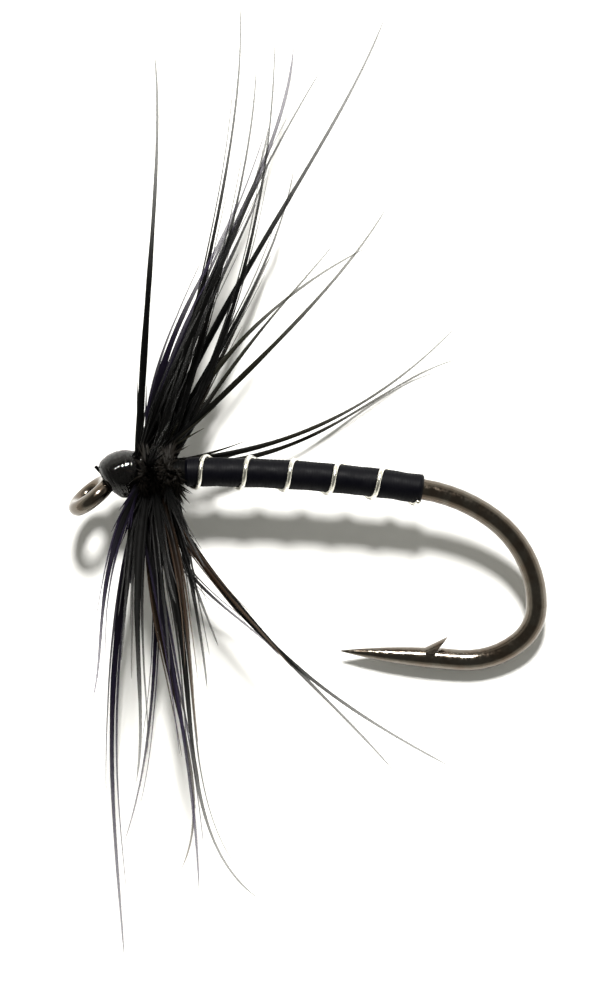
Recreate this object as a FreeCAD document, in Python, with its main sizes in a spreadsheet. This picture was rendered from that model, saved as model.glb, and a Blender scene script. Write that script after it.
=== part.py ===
import FreeCAD, Part
import Sketcher
import math
import os

# A soft-hackled trout fly on a bronzed, down-eyed, single-barbed hook.
#
# Frame: millimetres, +X from the eye toward the bend, +Z up (the point hangs below the shank)
# and -Y the near side.  The origin is the centre of the hole in the hook eye.
#
# "Clock" angles are measured round the shank: 0 is the near side (-Y), 90 is up, 180 is the far
# side and 270 is down.

os.makedirs("parts", exist_ok=True)
doc = FreeCAD.newDocument("fly")

# ---------------------------------------------------------------------------------------------
# Driving sizes, mm and degrees
# ---------------------------------------------------------------------------------------------
SIZES = [
    # the hook
    ("wire_diameter", 0.64, "round wire of the shank, bend and spear"),
    ("shank_height", 0.72, "shank axis above the eye centre"),
    ("shank_straight_end", 3.2, "where the straight part of the shank ends"),
    ("shank_sweep_radius", 42.0, "gentle droop of the rear shank"),
    ("shank_sweep_angle", 9.2, "turn of the rear shank"),
    ("bend_top_radius", 4.7, "first arc of the bend"),
    ("bend_top_angle", 28.8, "turn of the first arc"),
    ("bend_back_radius", 3.45, "second arc, down to the back of the bend"),
    ("bend_back_angle", 52.0, "turn of the second arc"),
    ("bend_low_radius", 1.5, "tight lower arc"),
    ("bend_low_angle", 50.0, "turn of the lower arc"),
    ("bend_heel_radius", 2.46, "last arc, into the spear"),
    ("bend_heel_angle", 44.6, "turn of the last arc"),
    ("spear_plain", 0.35, "full-diameter wire before the ground point"),
    ("point_length", 3.25, "length of the ground needle point"),
    ("point_tip_diameter", 0.04, "flat left at the very tip"),
    # the barb cut into the spear, measured from the end of the bend
    ("barb_root", 1.05, "front of the raised sliver, along the spear"),
    ("barb_rise", 0.38, "height of the barb tip above the wire"),
    ("barb_reach", 0.62, "length of the raised sliver along the spear"),
    ("barb_notch", 0.11, "depth of the cut under the barb"),
    ("barb_notch_place", 0.8, "deepest place of the cut, along the spear"),
    # the eye
    ("eye_angle", 38.0, "droop of the eye below the shank"),
    ("eye_bore", 0.76, "diameter of the polished hole in the eye"),
    ("eye_land", 0.02, "depth of the flat land round the hole"),
    ("eye_wire", 0.48, "drawn-down wire of the eye"),
    # thread, floss and rib
    ("wrap_clearance", 0.01, "gap between one winding and what lies under it"),
    ("thread_wall", 0.03, "thickness of the thread base"),
    ("floss_start", 2.8, "front end of the body floss"),
    ("floss_wall", 0.06, "thickness of the body floss"),
    ("rib_diameter", 0.12, "silver wire of the rib"),
    ("rib_bed", 0.03, "how deep the rib sinks into the floss"),
    ("rib_pitch", 1.332, "advance of the rib in one turn"),
    ("rib_first_cross", 3.26, "first place where the rib faces the near side"),
    ("rib_lean", 0.175, "how far the rib runs ahead on the far side and holds back on the near side"),
    # the hackle feather
    ("stem_diameter", 0.18, "quill of the hackle feather"),
    ("stem_start", 1.42, "first turn of the quill"),
    ("stem_pitch", 0.33, "advance of the quill in one turn"),
    ("stem_turns", 3.5, "turns of the quill"),
    ("fibre_tip_diameter", 0.04, "tip of each hackle fibre"),
    # the head
    ("head_rear", 1.25, "rear face of the head, along the shank"),
    ("head_front", 0.64, "front face of the head, along the neck from the eye centre"),
    ("head_front_diameter", 0.92, "front of the head"),
    ("head_crown_diameter", 1.34, "thickest place of the head"),
    ("head_rear_diameter", 1.16, "rear of the head"),
    ("varnish_wall", 0.025, "coat of clear varnish"),
    ("tag_diameter", 0.1, "clipped end of the tying thread"),
    ("tag_length", 0.24, "free length of the clipped end"),
]

sizes = doc.addObject("Spreadsheet::Sheet", "sizes")
for row, (alias, value, note) in enumerate(SIZES, start=1):
    sizes.set(f"A{row}", note)
    sizes.set(f"B{row}", str(value))
    sizes.setAlias(f"B{row}", alias)
doc.recompute()


def size(alias):
    """The value of one named size."""
    return float(sizes.get(alias))


def bind(item, **links):
    """Tie properties of a document object to formulas of the sheet's sizes."""
    for name, formula in links.items():
        item.setExpression(name, formula)


def vec(x, y, z):
    return FreeCAD.Vector(x, y, z)


def direction(heading):
    """Unit vector in the plane of the hook, turned clockwise from +X by heading degrees."""
    turn = math.radians(heading)
    return vec(math.cos(turn), 0, -math.sin(turn))


# ---------------------------------------------------------------------------------------------
# The centreline of the hook wire
# ---------------------------------------------------------------------------------------------
BEND_ARCS = ["shank_sweep", "bend_top", "bend_back", "bend_low", "bend_heel"]
NECK_START = size("shank_height") / math.tan(math.radians(size("eye_angle")))


def wire_runs(last_arc, tail=None):
    """The runs of the hook's centreline after its straight front, up to last_arc and its tail."""
    runs = []
    for name in BEND_ARCS:
        runs.append(("arc", name))
        if name == last_arc:
            break
    if tail:
        runs.append(("line", tail))
    return runs


def wire_state(length):
    """Point and heading on the hook's centreline, at a distance behind X = 0."""
    point = vec(0, 0, size("shank_height"))
    heading = 0.0
    straight = size("shank_straight_end")
    step = min(length, straight)
    point += direction(heading) * step
    left = length - step
    for name in BEND_ARCS:
        radius = size(name + "_radius")
        run = radius * math.radians(size(name + "_angle"))
        step = min(left, run)
        turned = math.degrees(step / radius)
        point += (direction(heading + turned - 90) - direction(heading - 90)) * radius
        heading += turned
        left -= step
    return point + direction(heading) * left, heading


def bend_end():
    """Distance along the centreline to the end of the bend."""
    arcs = sum(size(n + "_radius") * math.radians(size(n + "_angle")) for n in BEND_ARCS)
    return size("shank_straight_end") + arcs


def body_end():
    """Distance along the centreline to the rear end of the dressing."""
    droop = math.radians(size("shank_sweep_angle"))
    return size("shank_straight_end") + size("shank_sweep_radius") * droop


def tie(sketch, formula, *constraint):
    """Add a dimension to a sketch and drive it by a formula of the sheet's sizes."""
    index = sketch.addConstraint(Sketcher.Constraint(*constraint))
    sketch.setExpression(f"Constraints[{index}]", formula)


def path_sketch(name, start, start_formula, runs):
    """A sketch in the plane of the hook: a straight run along the shank, then tangent runs."""
    sketch = doc.addObject("Sketcher::SketchObject", name)
    sketch.Placement = FreeCAD.Placement(vec(0, 0, 0), FreeCAD.Rotation(vec(1, 0, 0), 90))
    height = size("shank_height")
    joint = vec(size("shank_straight_end"), height, 0)
    sketch.addGeometry(Part.LineSegment(vec(start, height, 0), joint))
    heading = 0.0
    for kind, alias in runs:
        along = vec(math.cos(math.radians(heading)), -math.sin(math.radians(heading)), 0)
        if kind == "line":
            end = joint + along * size(alias)
            sketch.addGeometry(Part.LineSegment(joint, end))
            joint = end
            continue
        radius = size(alias + "_radius")
        inward = vec(along.y, -along.x, 0)
        centre = joint + inward * radius
        circle = Part.Circle(centre, vec(0, 0, 1), radius)
        high = math.radians(90 - heading)
        heading += size(alias + "_angle")
        low = math.radians(90 - heading)
        sketch.addGeometry(Part.ArcOfCircle(circle, low, high))
        joint = centre + vec(math.cos(low), math.sin(low), 0) * radius
    sketch.addConstraint(Sketcher.Constraint("Horizontal", 0))
    straight_end = size("shank_straight_end")
    tie(sketch, start_formula, "DistanceX", -1, 1, 0, 1, start)
    tie(sketch, "sizes.shank_height", "DistanceY", -1, 1, 0, 1, height)
    tie(sketch, "sizes.shank_straight_end", "DistanceX", -1, 1, 0, 2, straight_end)
    for index, (kind, alias) in enumerate(runs, start=1):
        before = 1 if index > 1 else 2
        if kind == "line":
            sketch.addConstraint(Sketcher.Constraint("Tangent", index - 1, before, index, 1))
            tie(sketch, f"sizes.{alias}", "Distance", index, size(alias))
            continue
        sketch.addConstraint(Sketcher.Constraint("Tangent", index - 1, before, index, 2))
        tie(sketch, f"sizes.{alias}_radius", "Radius", index, size(alias + "_radius"))
        turn = math.radians(size(alias + "_angle"))
        tie(sketch, f"sizes.{alias}_angle", "Angle", index, turn)
    return sketch


def swept(name, sketch, start, radius_formula):
    """A round bar of the given radius along a path sketch that starts at X = start."""
    section = doc.addObject("Part::Circle", name + "_section")
    section.Placement = FreeCAD.Placement(
        vec(start, 0, size("shank_height")), FreeCAD.Rotation(vec(0, 1, 0), 90)
    )
    bind(section, Radius=radius_formula)
    bar = doc.addObject("Part::Sweep", name)
    bar.Sections = [section]
    edges = [f"Edge{i + 1}" for i in range(len(sketch.Geometry))]
    bar.Spine = (sketch, edges)
    bar.Solid = True
    bar.Frenet = False
    return bar


def joined(kind, name, *items):
    """A boolean of several objects: "Cut" and "Common" take two, "MultiFuse" takes any number."""
    result = doc.addObject("Part::" + kind, name)
    if kind == "MultiFuse":
        result.Shapes = list(items)
    else:
        result.Base, result.Tool = items
    return result


parts = {}


def keep(item, label):
    """Name a finished piece."""
    item.Label = label
    parts[label] = item


# ---------------------------------------------------------------------------------------------
# Hook: one length of wire, from the closed eye to the ground point
# ---------------------------------------------------------------------------------------------
hook_path = path_sketch(
    "hook_path",
    NECK_START,
    "sizes.shank_height / tan(sizes.eye_angle)",
    wire_runs("bend_heel", "spear_plain"),
)
hook_wire = swept("hook_wire", hook_path, NECK_START, "sizes.wire_diameter / 2")

bend_exit, spear_heading = wire_state(bend_end())


def on_spear(distance, height=0.0):
    """A point beside the spear: distance behind the bend, height toward the shank."""
    return bend_exit + direction(spear_heading) * distance + direction(spear_heading + 90) * height


POINT_SHARES = [0.0, 0.25, 0.5, 0.7, 0.85, 0.95, 1.0]
# length of the slope in front of the barb's cut, in depths of the cut
LIP_RUN = 2.2


def ring_rotation(axis):
    """Turns a flat ring so that it faces along an axis, with its seam on the far side."""
    return FreeCAD.Rotation(vec(0, 1, 0), vec(0, 0, 0), axis, "ZXY")


def ground_point():
    """The needle point: rings that shrink along a parabola from the full wire to the tip."""
    rings = []
    for index, share in enumerate(POINT_SHARES):
        ring = doc.addObject("Part::Circle", f"point_ring_{index + 1}")
        place = on_spear(size("spear_plain") + share * size("point_length"))
        ring.Placement = FreeCAD.Placement(place, ring_rotation(direction(spear_heading)))
        full = f"(sizes.wire_diameter / 2) * {1 - share ** 2}"
        bind(ring, Radius=f"{full} + (sizes.point_tip_diameter / 2) * {share ** 2}")
        rings.append(ring)
    point = doc.addObject("Part::Loft", "point")
    point.Sections = rings
    point.Solid = True
    point.Ruled = False
    return point


def spear_prism(name, corners):
    """A block across the spear whose side view runs through the corners (distance, height)."""
    half_width = size("wire_diameter")
    places = [on_spear(*corner) - vec(0, half_width, 0) for corner in corners]
    block = doc.addObject("Part::Feature", name)
    face = Part.Face(Part.makePolygon(places + places[:1]))
    block.Shape = face.extrude(vec(0, 2 * half_width, 0))
    return block


def barb_pieces():
    """The raised sliver of the spear, still round on its outside, and the cut beneath it."""
    radius = size("wire_diameter") / 2
    root = size("barb_root")
    tip = (root - size("barb_reach"), radius + size("barb_rise"))
    notch = (size("barb_notch_place"), radius - size("barb_notch"))
    slope = math.atan2(size("barb_rise"), size("barb_reach"))
    foot = (root + radius, radius - radius * math.tan(slope))
    wedge = spear_prism("barb_wedge", [foot, (root, radius), tip, notch])
    rounding = doc.addObject("Part::Cylinder", "barb_rounding")
    outward = direction(spear_heading + 90)
    rise = direction(spear_heading + 180) * math.cos(slope) + outward * math.sin(slope)
    across = vec(0, 1, 0).cross(rise)
    across = across if across.dot(outward) > 0 else across * -1
    axis_start = on_spear(*foot) - across * radius - rise * radius
    rounding.Placement = FreeCAD.Placement(axis_start, ring_rotation(rise))
    bind(rounding, Radius="sizes.wire_diameter / 2")
    bind(rounding, Height="sizes.wire_diameter + 2 * sizes.barb_reach")
    sliver = joined("Common", "barb_sliver", wedge, rounding)
    above = radius + size("barb_rise")
    lip = (notch[0] - LIP_RUN * size("barb_notch"), radius)
    cut = spear_prism("barb_cut", [notch, tip, (lip[0], above), lip])
    return sliver, cut


def hook_eye():
    """The closed ring of the eye and the neck that carries it, in the plane of the eye."""
    tilt = size("eye_angle")
    lie = FreeCAD.Rotation(vec(0, 1, 0), -tilt)
    ring = doc.addObject("Part::Torus", "eye_ring")
    ring.Placement = FreeCAD.Placement(vec(0, 0, 0), lie)
    bind(ring, Radius1="sizes.eye_bore / 2 - sizes.eye_land + sizes.eye_wire / 2")
    bind(ring, Radius2="sizes.eye_wire / 2")
    reach = math.hypot(NECK_START, size("shank_height"))
    along = direction(-tilt)
    neck = doc.addObject("Part::Cone", "eye_neck")
    start = size("eye_bore") / 2 - size("eye_land") + size("eye_wire") / 2
    neck.Placement = FreeCAD.Placement(along * start, ring_rotation(along))
    bind(neck, Radius1="sizes.eye_wire / 2", Radius2="sizes.wire_diameter / 2")
    neck.Height = reach - start
    elbow = doc.addObject("Part::Sphere", "eye_elbow")
    elbow.Placement = FreeCAD.Placement(vec(NECK_START, 0, size("shank_height")), lie)
    bind(elbow, Radius="sizes.wire_diameter / 2")
    hole = doc.addObject("Part::Cylinder", "eye_hole")
    bind(hole, Radius="sizes.eye_bore / 2", Height="2 * sizes.eye_wire")
    drop = lie.multVec(vec(0, 0, -size("eye_wire")))
    hole.Placement = FreeCAD.Placement(drop, lie)
    return [ring, neck, elbow], hole


eye_solids, eye_hole = hook_eye()
sliver, barb_cut = barb_pieces()
whole_wire = joined("MultiFuse", "whole_wire", hook_wire, ground_point())
cut_wire = joined("Cut", "cut_wire", whole_wire, barb_cut)
hook_blank = joined("MultiFuse", "hook_blank", cut_wire, sliver, *eye_solids)
hook = joined("Cut", "hook_solid", hook_blank, eye_hole)
keep(hook, "hook")

# ---------------------------------------------------------------------------------------------
# Windings round the shank
# ---------------------------------------------------------------------------------------------
BORE = "sizes.wire_diameter / 2 + sizes.wrap_clearance"
BASE = f"{BORE} + sizes.thread_wall"
BASE_START = "sizes.head_rear + sizes.varnish_wall + 2 * sizes.wrap_clearance"


def sleeve(name, start, start_formula, inner_formula, outer_formula):
    """A winding drawn as a sleeve that follows the shank from start to the end of the body."""
    path = path_sketch(name + "_path", start, start_formula, wire_runs("shank_sweep"))
    outer = swept(name + "_outer", path, start, outer_formula)
    inner = swept(name + "_inner", path, start, inner_formula)
    return joined("Cut", name + "_sleeve", outer, inner)


base_start = size("head_rear") + size("varnish_wall") + 2 * size("wrap_clearance")
keep(sleeve("base", base_start, BASE_START, BORE, BASE), "thread_base")


def base_radius():
    """Outside of the thread base."""
    return size("wire_diameter") / 2 + size("wrap_clearance") + size("thread_wall")


def shank_ring(along, clock, radius):
    """A point beside the shank: distance along it, clock angle and distance from its axis."""
    point, heading = wire_state(along)
    turn = math.radians(clock)
    up = direction(heading - 90)
    return point + up * (radius * math.sin(turn)) + vec(0, -radius * math.cos(turn), 0)


COIL_POINTS_PER_TURN = 16


def coil(place, first_clock, last_clock, radius, bar_radius):
    """A round wire wound left-handed over the shank; place gives its distance at a clock angle."""
    turns = (last_clock - first_clock) / 360
    count = max(4, round(turns * COIL_POINTS_PER_TURN))
    clocks = [first_clock + 360 * turns * i / count for i in range(count + 1)]
    points = [shank_ring(place(clock), clock, radius) for clock in clocks]
    curve = Part.BSplineCurve()
    curve.interpolate(points)
    spine = Part.Wire([curve.toShape()])
    tangent = curve.tangent(curve.FirstParameter)[0]
    ring = Part.Circle(points[0], tangent, bar_radius)
    return spine.makePipeShell([Part.Wire([ring.toShape()])], True, True)


def feature(name, shape):
    item = doc.addObject("Part::Feature", name)
    item.Shape = shape
    return item


# the clock angle at which a line across the shank is seen square from the near side
NEAR_CLOCK = 16.0
rib_radius = size("rib_diameter") / 2
floss_radius = base_radius() + size("wrap_clearance") + size("floss_wall")
rib_centre = floss_radius + rib_radius - size("rib_bed")
rib_start = size("floss_start") + rib_radius
rib_end = body_end() - rib_radius


def rib_place(clock):
    """Distance of the rib along the shank at a clock angle: steep near, long on the far side."""
    turned = clock - NEAR_CLOCK
    held_back = size("rib_lean") * math.sin(math.radians(turned))
    return size("rib_first_cross") + size("rib_pitch") * turned / 360 - held_back


def rib_clock(along):
    """Clock angle at which the rib reaches a distance along the shank, by halving."""
    guess = NEAR_CLOCK + 360 * (along - size("rib_first_cross")) / size("rib_pitch")
    low, high = guess - 180, guess + 180
    for _ in range(40):
        middle = (low + high) / 2
        if rib_place(middle) < along:
            low = middle
        else:
            high = middle
    return (low + high) / 2


rib_sizes = (rib_place, rib_clock(rib_start), rib_clock(rib_end), rib_centre)
keep(feature("rib", coil(*rib_sizes, rib_radius)), "rib_wire")

floss = sleeve(
    "floss",
    size("floss_start"),
    "sizes.floss_start",
    f"{BASE} + sizes.wrap_clearance",
    f"{BASE} + sizes.wrap_clearance + sizes.floss_wall",
)
rib_bed = feature("rib_bed", coil(*rib_sizes, rib_radius + size("wrap_clearance")))
keep(joined("Cut", "floss_body", floss, rib_bed), "body_floss")

# ---------------------------------------------------------------------------------------------
# Hackle: the quill wound over the thread base, and its fibres
# ---------------------------------------------------------------------------------------------
STEM_CLOCK = 200.0
stem_radius = size("stem_diameter") / 2
stem_centre = base_radius() + size("wrap_clearance") + stem_radius


def stem_place(clock):
    """Distance of the quill along the shank at a clock angle."""
    return size("stem_start") + size("stem_pitch") * (clock - STEM_CLOCK) / 360


stem_last_clock = STEM_CLOCK + 360 * size("stem_turns")
stem = coil(stem_place, STEM_CLOCK, stem_last_clock, stem_centre, stem_radius)
keep(feature("stem", stem), "hackle_stem")

# name, place along the shank, clock, change of clock, rake toward the bend, change of rake,
# curl of the tip, length, root diameter
TOP = 90 + NEAR_CLOCK
LOW = 270 + NEAR_CLOCK
FIBRES = [
    ("hackle_top_01", 1.40, TOP - 13, 6, 3, 4, -12, 12, 0.17),
    ("hackle_top_02", 2.15, TOP - 6, 0, 14, -3, -14, 13.7, 0.12),
    ("hackle_top_03", 1.50, TOP + 8, -3, 19, 14, -29, 13.2, 0.22),
    ("hackle_top_04", 1.90, TOP - 20, 0, 13, 22, -27, 10.7, 0.18),
    ("hackle_top_05", 1.70, TOP - 20, 3, 2, 45, -28, 8.3, 0.18),
    ("hackle_top_06", 1.70, TOP, 0, 17, 15, -1, 12.7, 0.12),
    ("hackle_top_07", 1.85, TOP + 4, 0, 24, 15, -18, 14.8, 0.17),
    ("hackle_top_08", 2.00, TOP - 9, 0, 14, 22, -22, 9.6, 0.12),
    ("hackle_top_09", 2.40, TOP + 15, -3, 28, -7, 6, 6.9, 0.13),
    ("hackle_top_10", 2.30, TOP - 11, 1, 17, -4, -12, 12.2, 0.11),
    ("hackle_top_11", 2.40, TOP + 1, -2, 28, -29, 2, 13, 0.11),
    ("hackle_top_12", 2.00, TOP + 11, -1, 32, -8, -16, 9.7, 0.12),
    ("hackle_top_13", 1.50, TOP - 29, 9, 14, 14, 0, 5, 0.15),
    ("hackle_top_14", 2.00, TOP - 34, 1, 9, 16, -12, 4.3, 0.14),
    ("hackle_top_15", 1.70, TOP + 19, 3, 14, 10, -4, 3.6, 0.14),
    ("hackle_swept_01", 2.25, TOP + 4, -3, 24, 41, -2, 8.7, 0.14),
    ("hackle_swept_02", 2.10, TOP - 20, 6, 46, -4, -12, 10.1, 0.15),
    ("hackle_swept_03", 2.55, TOP + 8, -3, 29, 19, -9, 8, 0.11),
    ("hackle_swept_04", 2.60, 163, -76, 80, -34, -4, 9.6, 0.13),
    ("hackle_swept_05", 2.74, 178, -98, 80, -44, 38, 9.2, 0.12),
    ("hackle_low_01", 1.55, LOW - 5, 3, -15, 29, -10, 14.1, 0.17),
    ("hackle_low_02", 1.40, LOW + 46, 8, -18, 31, -20, 9.6, 0.15),
    ("hackle_low_03", 1.65, LOW + 33, 6, -7, 21, -21, 10.5, 0.18),
    ("hackle_low_04", 1.75, LOW + 1, 3, -3, 41, -64, 11.5, 0.16),
    ("hackle_low_05", 1.60, LOW + 13, -3, 21, -41, 76, 13, 0.17),
    ("hackle_low_06", 1.40, LOW + 7, 6, 12, -4, -6, 12.1, 0.16),
    ("hackle_low_07", 2.00, LOW + 25, 4, 17, -22, 13, 8.4, 0.14),
    ("hackle_low_08", 1.85, LOW - 10, 3, 3, -12, -10, 10.9, 0.12),
    ("hackle_low_09", 1.95, LOW - 2, 9, 31, 25, -16, 11, 0.16),
    ("hackle_low_10", 2.10, LOW + 7, -3, 25, 46, -9, 12.1, 0.16),
    ("hackle_low_11", 1.90, LOW + 13, 0, 28, 24, -14, 6.8, 0.13),
    ("hackle_low_12", 1.70, LOW - 16, 8, 10, 72, -43, 6.7, 0.12),
    ("hackle_low_13", 2.25, LOW + 18, 0, 12, 14, -6, 5.1, 0.13),
    ("hackle_low_14", 1.40, LOW + 24, 3, -7, 6, -2, 5.6, 0.15),
    ("hackle_low_15", 1.40, LOW - 32, 6, -7, 8, 2, 5.9, 0.15),
    ("hackle_low_16", 1.80, LOW + 24, -12, 6, 2, -6, 5.7, 0.15),
    ("hackle_low_17", 2.45, LOW - 11, 0, 11, -2, -4, 6.2, 0.14),
    ("hackle_low_18", 1.90, LOW + 39, 12, 6, 2, 6, 4.9, 0.14),
    ("hackle_near_01", 1.70, 30, 14, 6, 10, 0, 3.8, 0.13),
    ("hackle_near_02", 2.20, 340, -16, 14, 10, 0, 3.8, 0.13),
]
CURL_POWER = 4
FIBRE_STATIONS = 11
STEPS_BETWEEN_STATIONS = 8


def fibre_heading(fibre, share):
    """Unit vector along a fibre, at a share of its length."""
    clock = math.radians(fibre[2] + fibre[3] * share)
    rake = math.radians(fibre[4] + fibre[5] * share + fibre[6] * share ** CURL_POWER)
    out = vec(0, -math.cos(clock), math.sin(clock))
    return out * math.cos(rake) + vec(math.sin(rake), 0, 0)


def fibre_solid(fibre):
    """A round, tapered, bent fibre that springs from the outside of the wound quill."""
    length, root_diameter = fibre[7], fibre[8]
    lean = abs(math.sin(math.radians(fibre[4])))
    seat = stem_centre + stem_radius + size("wrap_clearance") + lean * root_diameter / 2
    place = shank_ring(fibre[1], fibre[2], seat)
    step = length / ((FIBRE_STATIONS - 1) * STEPS_BETWEEN_STATIONS)
    rings = []
    for station in range(FIBRE_STATIONS):
        share = station / (FIBRE_STATIONS - 1)
        along = fibre_heading(fibre, share)
        radius = root_diameter / 2
        radius += (size("fibre_tip_diameter") / 2 - radius) * share
        ring = Part.Wire([Part.Circle(vec(0, 0, 0), vec(0, 0, 1), radius).toShape()])
        turn = FreeCAD.Rotation(vec(1, 0, 0), vec(0, 0, 0), along, "ZXY")
        ring.Placement = FreeCAD.Placement(place, turn)
        rings.append(ring)
        for i in range(STEPS_BETWEEN_STATIONS):
            middle = share + (i + 0.5) * step / length
            place = place + fibre_heading(fibre, middle) * step
    return Part.makeLoft(rings, True, True)


for fibre in FIBRES:
    keep(feature(fibre[0], fibre_solid(fibre)), fibre[0])

# ---------------------------------------------------------------------------------------------
# Head: wound thread, its clipped end and a coat of varnish
# ---------------------------------------------------------------------------------------------
# how far the two crown rings stand from the elbow, as shares of the rear and front lengths,
# and how far each leans toward the neck
CROWN_SHARE = 0.4
REAR_CROWN_LEAN = 0.25
FRONT_CROWN_LEAN = 0.65


def grown(alias, coat_formula):
    """Formula for a radius of the head with a coat over it."""
    return f"sizes.{alias} / 2 + {coat_formula}"


def head_barrel(name, coat, coat_formula):
    """The head's outer form: rings that lean over from the shank to the drooping neck."""
    tilt = size("eye_angle")
    elbow = vec(NECK_START, 0, size("shank_height"))
    neck = direction(-tilt)
    front = neck * (size("head_front") - coat)
    rear = vec(size("head_rear") + coat, 0, size("shank_height"))
    crown = grown("head_crown_diameter", coat_formula)
    rear_crown = elbow + (rear - elbow) * CROWN_SHARE
    front_crown = elbow + (front - elbow) * CROWN_SHARE
    rings = [
        (rear, direction(0), grown("head_rear_diameter", coat_formula)),
        (rear_crown, direction(-REAR_CROWN_LEAN * tilt), crown),
        (front_crown, direction(-FRONT_CROWN_LEAN * tilt), crown),
        (front, neck, grown("head_front_diameter", coat_formula)),
    ]
    circles = []
    for index, (place, facing, radius_formula) in enumerate(rings, start=1):
        ring = doc.addObject("Part::Circle", f"{name}_ring_{index}")
        ring.Placement = FreeCAD.Placement(place, ring_rotation(facing))
        bind(ring, Radius=radius_formula)
        circles.append(ring)
    barrel = doc.addObject("Part::Loft", name)
    barrel.Sections = circles
    barrel.Solid = True
    barrel.Ruled = False
    return barrel


def wire_room(name):
    """The space that the hook takes inside the head, with the winding clearance round it."""
    tilt = size("eye_angle")
    lie = FreeCAD.Rotation(vec(0, 1, 0), -tilt)
    room = "sizes.wire_diameter / 2 + sizes.wrap_clearance"
    elbow = vec(NECK_START, 0, size("shank_height"))
    ring = doc.addObject("Part::Torus", name + "_ring")
    ring.Placement = FreeCAD.Placement(vec(0, 0, 0), lie)
    bind(ring, Radius1="sizes.eye_bore / 2 - sizes.eye_land + sizes.eye_wire / 2")
    bind(ring, Radius2="sizes.eye_wire / 2 + sizes.wrap_clearance")
    ball = doc.addObject("Part::Sphere", name + "_elbow")
    ball.Placement = FreeCAD.Placement(elbow, lie)
    bind(ball, Radius=room)
    neck = doc.addObject("Part::Cylinder", name + "_neck")
    start = size("eye_bore") / 2
    neck.Placement = FreeCAD.Placement(direction(-tilt) * start, ring_rotation(direction(-tilt)))
    bind(neck, Radius=room)
    neck.Height = elbow.Length - start
    shank = doc.addObject("Part::Cylinder", name + "_shank")
    shank.Placement = FreeCAD.Placement(elbow, ring_rotation(direction(0)))
    bind(shank, Radius=room)
    bind(shank, Height="sizes.head_rear + sizes.wire_diameter")
    return joined("MultiFuse", name, ring, ball, neck, shank)


winding = head_barrel("head_winding", 0.0, "0")
keep(joined("Cut", "head_body", winding, wire_room("head_room")), "head_thread")

gap = size("wrap_clearance")
coat = gap + size("varnish_wall")
skin = head_barrel("varnish_skin", coat, "sizes.wrap_clearance + sizes.varnish_wall")
core = head_barrel("varnish_core", gap, "sizes.wrap_clearance")
hollow = joined("MultiFuse", "varnish_hollow", core, wire_room("varnish_room"))
keep(joined("Cut", "varnish_body", skin, hollow), "head_varnish")

tag_up = direction(-size("eye_angle") - 90)
tag_seat = (size("head_front_diameter") + size("tag_diameter")) / 2 + coat + gap
tag_foot = direction(-size("eye_angle")) * size("head_front") + tag_up * tag_seat
tag = doc.addObject("Part::Cylinder", "tag")
tag.Placement = FreeCAD.Placement(tag_foot, ring_rotation(tag_up))
bind(tag, Radius="sizes.tag_diameter / 2", Height="sizes.tag_length")
keep(tag, "thread_tag")

# ---------------------------------------------------------------------------------------------
# Check every object, then write each piece
# ---------------------------------------------------------------------------------------------
doc.recompute()
for item in doc.Objects:
    if "Invalid" in item.State or "Error" in item.State:
        raise RuntimeError(f"{item.Name} failed: {item.State}")

for label, item in parts.items():
    shape = item.Shape
    if shape.isNull() or not shape.isValid() or not shape.Solids:
        raise RuntimeError(f"{label} has no valid solid")
    shape.exportStep(f"parts/{label}.step")
    print(f"{label}: {len(shape.Solids)} solid, {shape.Volume:.4f} mm3")
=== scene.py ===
import logging
import math
import random
from collections.abc import Iterable, Sequence
from dataclasses import dataclass, field
from enum import Enum

import bpy
import numpy as np
from mathutils import Matrix, Vector


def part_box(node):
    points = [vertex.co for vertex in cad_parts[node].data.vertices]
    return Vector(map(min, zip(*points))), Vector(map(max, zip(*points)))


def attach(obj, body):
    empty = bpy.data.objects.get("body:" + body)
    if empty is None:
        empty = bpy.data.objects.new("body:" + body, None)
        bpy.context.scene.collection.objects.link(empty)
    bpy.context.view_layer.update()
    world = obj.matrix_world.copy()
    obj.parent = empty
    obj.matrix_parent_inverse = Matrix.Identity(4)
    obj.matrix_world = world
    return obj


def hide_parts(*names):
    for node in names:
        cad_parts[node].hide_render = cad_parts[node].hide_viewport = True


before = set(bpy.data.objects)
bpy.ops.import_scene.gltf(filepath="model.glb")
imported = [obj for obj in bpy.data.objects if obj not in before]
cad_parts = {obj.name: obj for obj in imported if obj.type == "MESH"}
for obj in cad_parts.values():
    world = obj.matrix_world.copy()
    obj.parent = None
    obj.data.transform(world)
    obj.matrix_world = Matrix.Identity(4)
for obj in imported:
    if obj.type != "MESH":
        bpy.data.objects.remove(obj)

LOG = logging.getLogger("trout_fly")
MM = 0.001
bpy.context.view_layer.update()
TAU = 2.0 * math.pi
Colour = tuple[float, float, float]


# ---------------------------------------------------------------------------------------------
# Meshes: every shape is drawn in millimetres and becomes a mesh in metres
# ---------------------------------------------------------------------------------------------
def unit(vectors: np.ndarray) -> np.ndarray:
    """Vectors scaled to length 1.

    Args:
        vectors: One vector or an array of them.

    Returns:
        The same directions with length 1.
    """
    length = np.linalg.norm(vectors, axis=-1, keepdims=True)
    return vectors / np.maximum(length, 1e-12)


def ease(values: np.ndarray | float, low: float, high: float) -> np.ndarray:
    """Smooth step from 0 at low to 1 at high.

    Args:
        values: Where to read the step.
        low: End of the flat start.
        high: Start of the flat end.

    Returns:
        Shares between 0 and 1.
    """
    share = np.clip((np.asarray(values, dtype=float) - low) / (high - low), 0.0, 1.0)
    return share * share * (3.0 - 2.0 * share)


def read_along(places: np.ndarray, knots: np.ndarray, table: np.ndarray) -> np.ndarray:
    """Rows of a table, read between its knots.

    Args:
        places: Where to read.
        knots: The place of each row.
        table: One row for each knot.

    Returns:
        One row for each place.
    """
    return np.stack([np.interp(places, knots, column) for column in table.T], axis=1)


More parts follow.
